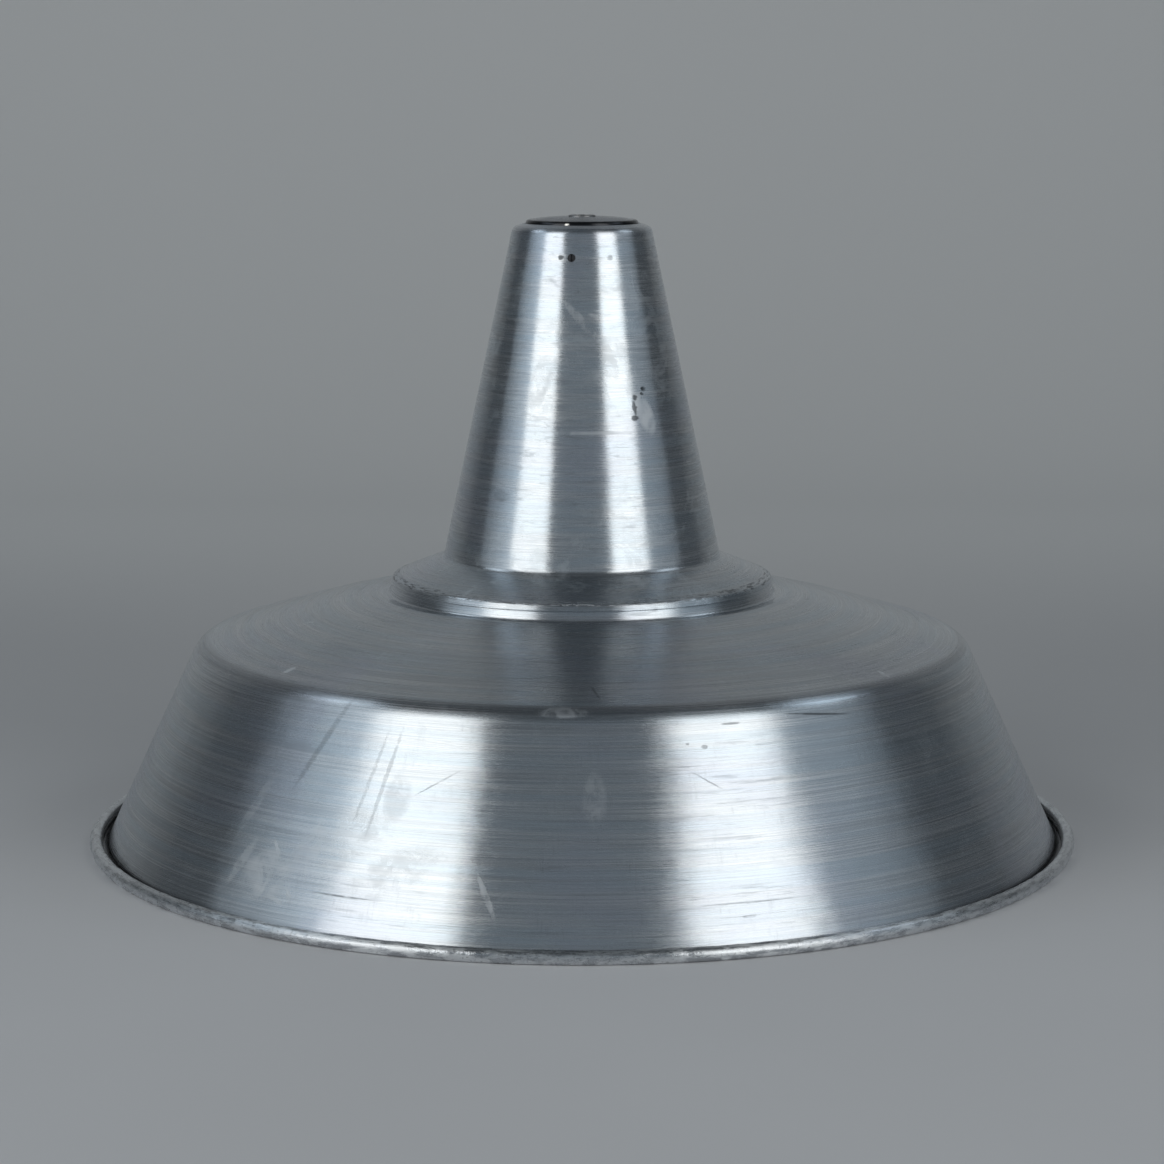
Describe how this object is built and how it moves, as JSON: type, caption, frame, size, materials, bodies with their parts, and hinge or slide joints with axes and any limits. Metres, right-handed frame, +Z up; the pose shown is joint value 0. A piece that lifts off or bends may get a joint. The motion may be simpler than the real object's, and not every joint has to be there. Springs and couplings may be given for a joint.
{
  "type": "industrial pendant lamp shade",
  "caption": "Spun aluminium pendant lamp shade: wide bowl with rolled rim, crimped cone neck, domed cap and a porcelain lampholder inside.",
  "frame": {"origin": "on the lamp's axis, in the plane that the rolled rim stands on (bottom centre of the box)", "axes": "+Z up along the lamp's axis, from the rim to the cable entry; -Y towards the side with the first set screw"},
  "size_m": [0.4, 0.3998, 0.2516],
  "materials": {
    "reflector_aluminium": "brushed in rings, slightly worn",
    "neck_aluminium": "brushed in rings, slightly worn",
    "cap_aluminium": "satin",
    "screw_steel": "dull, slightly tarnished",
    "bush_steel": "zinc plated",
    "plated_steel": "zinc plated",
    "spring_steel": "bright",
    "holder_brass": "tarnished",
    "terminal_brass": "satin",
    "contact_brass": "turned",
    "shell_brass": "satin",
    "rivet_brass": "satin",
    "bare_porcelain": "unglazed",
    "glazed_porcelain": "glazed"
  },
  "bodies": {
    "lamp_shade": {"reflector": "reflector_aluminium", "neck": "neck_aluminium", "top_cap": "cap_aluminium", "neck_set_screws": "screw_steel", "entry_bush": "bush_steel", "tooth_washer": "spring_steel", "lock_nut": "plated_steel", "nipple": "plated_steel", "holder_cap": "holder_brass", "entry_grub_screw": "screw_steel", "terminal_block": "bare_porcelain", "live_terminal": "terminal_brass", "neutral_terminal": "terminal_brass", "terminal_screws": "screw_steel", "earth_terminal": "terminal_brass", "earth_screw": "screw_steel", "contact_spring": "spring_steel", "screw_shell": "shell_brass", "shell_rivets": "rivet_brass", "holder_ring": "glazed_porcelain"},
    "plunger": {"contact_plunger": "contact_brass"}
  },
  "joints": [
    {"name": "contact_travel", "type": "slide", "parent": "lamp_shade", "child": "plunger", "axis": [0, 0, 1], "range_m": [0, 0.0015], "stiffness_N_per_m": 1500, "deforming": ["contact_spring"]}
  ]
}
